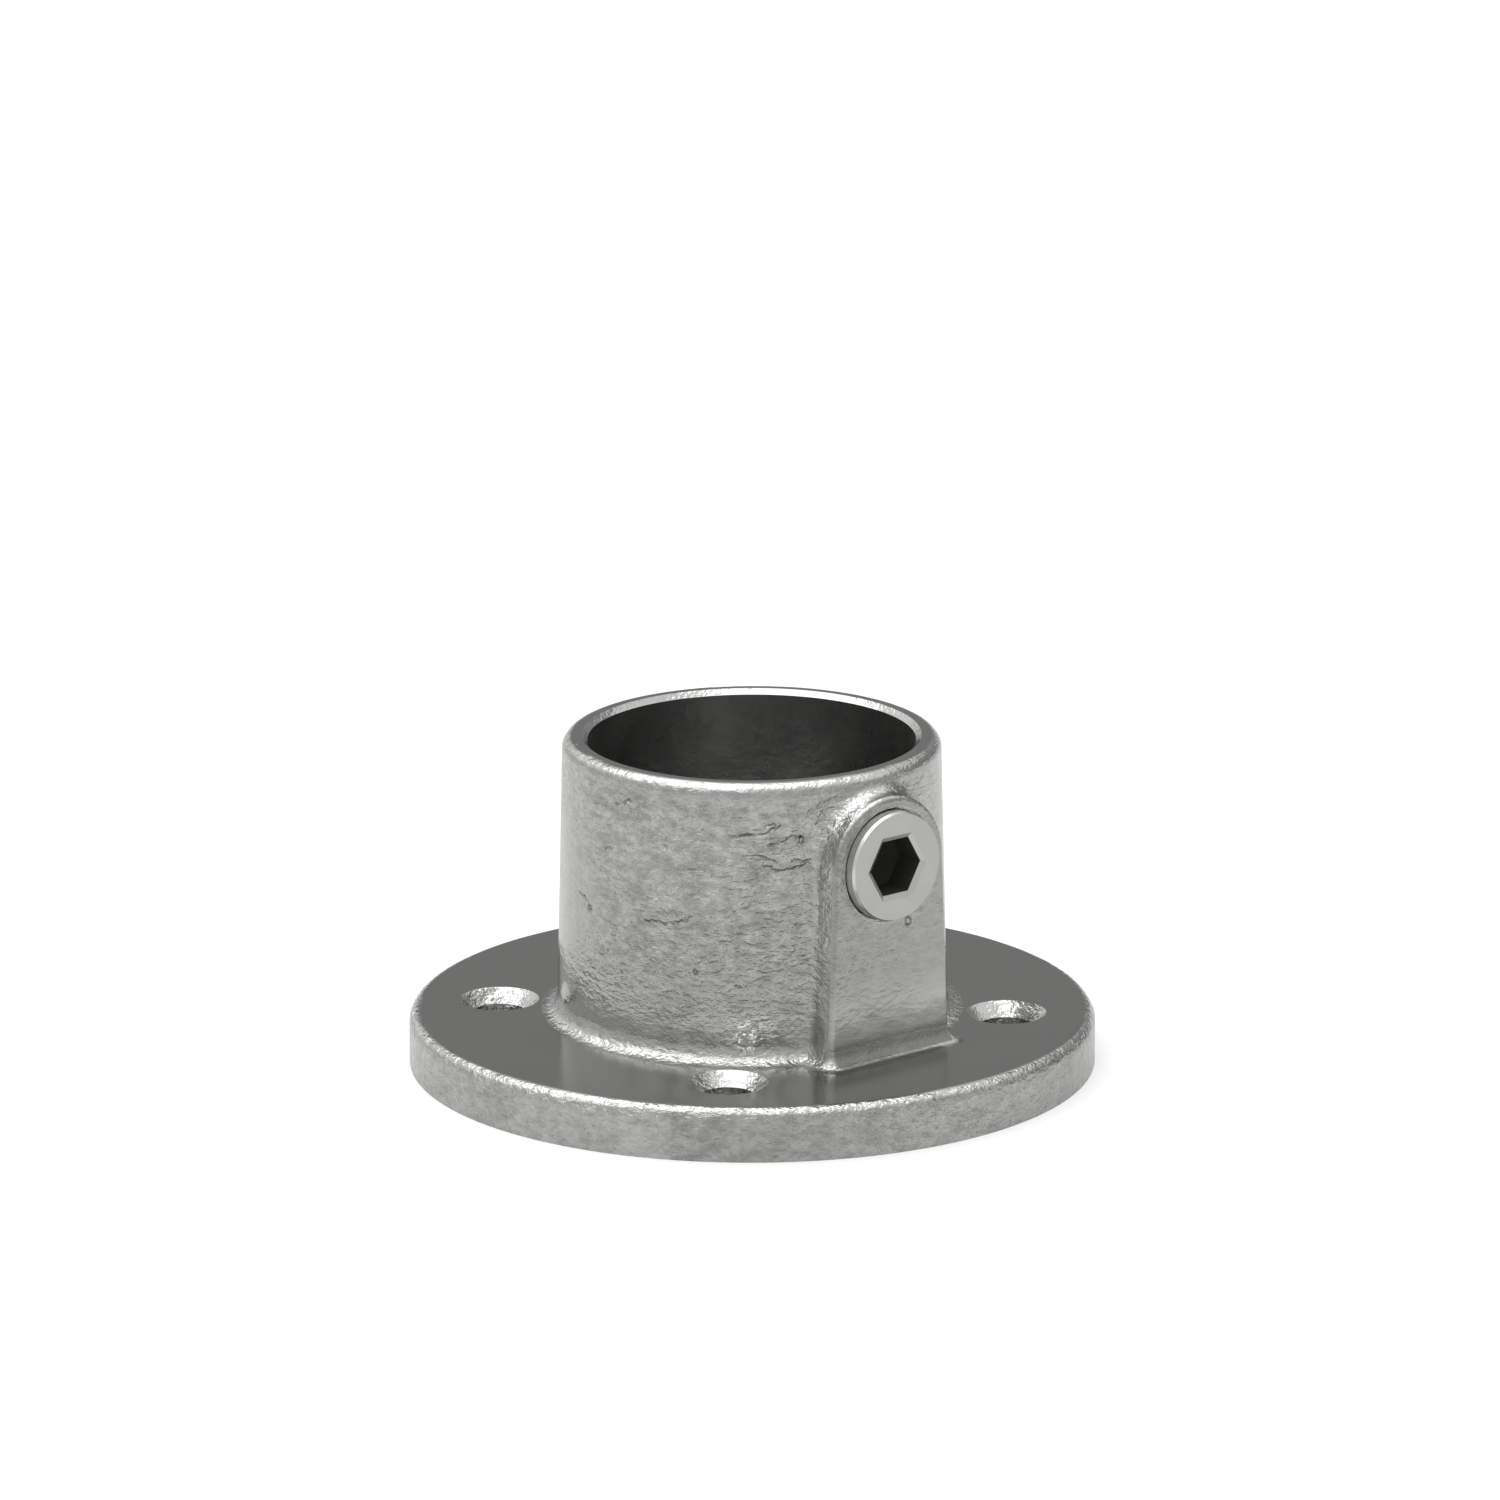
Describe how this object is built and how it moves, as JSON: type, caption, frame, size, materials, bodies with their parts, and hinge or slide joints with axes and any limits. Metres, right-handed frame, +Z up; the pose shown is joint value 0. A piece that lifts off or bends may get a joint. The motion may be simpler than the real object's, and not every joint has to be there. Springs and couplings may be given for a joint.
{
  "type": "tube clamp base flange",
  "caption": "Round foot flange with a tube socket clamped by a hex socket set screw, and countersunk holes around its rim.",
  "frame": {"origin": "centre of the flange's underside, on the tube's axis", "axes": "+Z up the tube's axis, out of the socket; the set screw's axis lies along Y and its hexagon socket faces -Y; the fixing holes lie midway between the X and Y axes"},
  "size_m": [0.1034, 0.1034, 0.0507],
  "materials": {
    "galvanised_casting": "hot-dip galvanised over an as-cast skin, fairly bright, finely pitted and wrinkled",
    "plated_steel": "smooth satin plating, dark inside the hexagon socket"
  },
  "bodies": {
    "root": {"flange_body": "galvanised_casting", "set_screw": "plated_steel"}
  },
  "joints": []
}
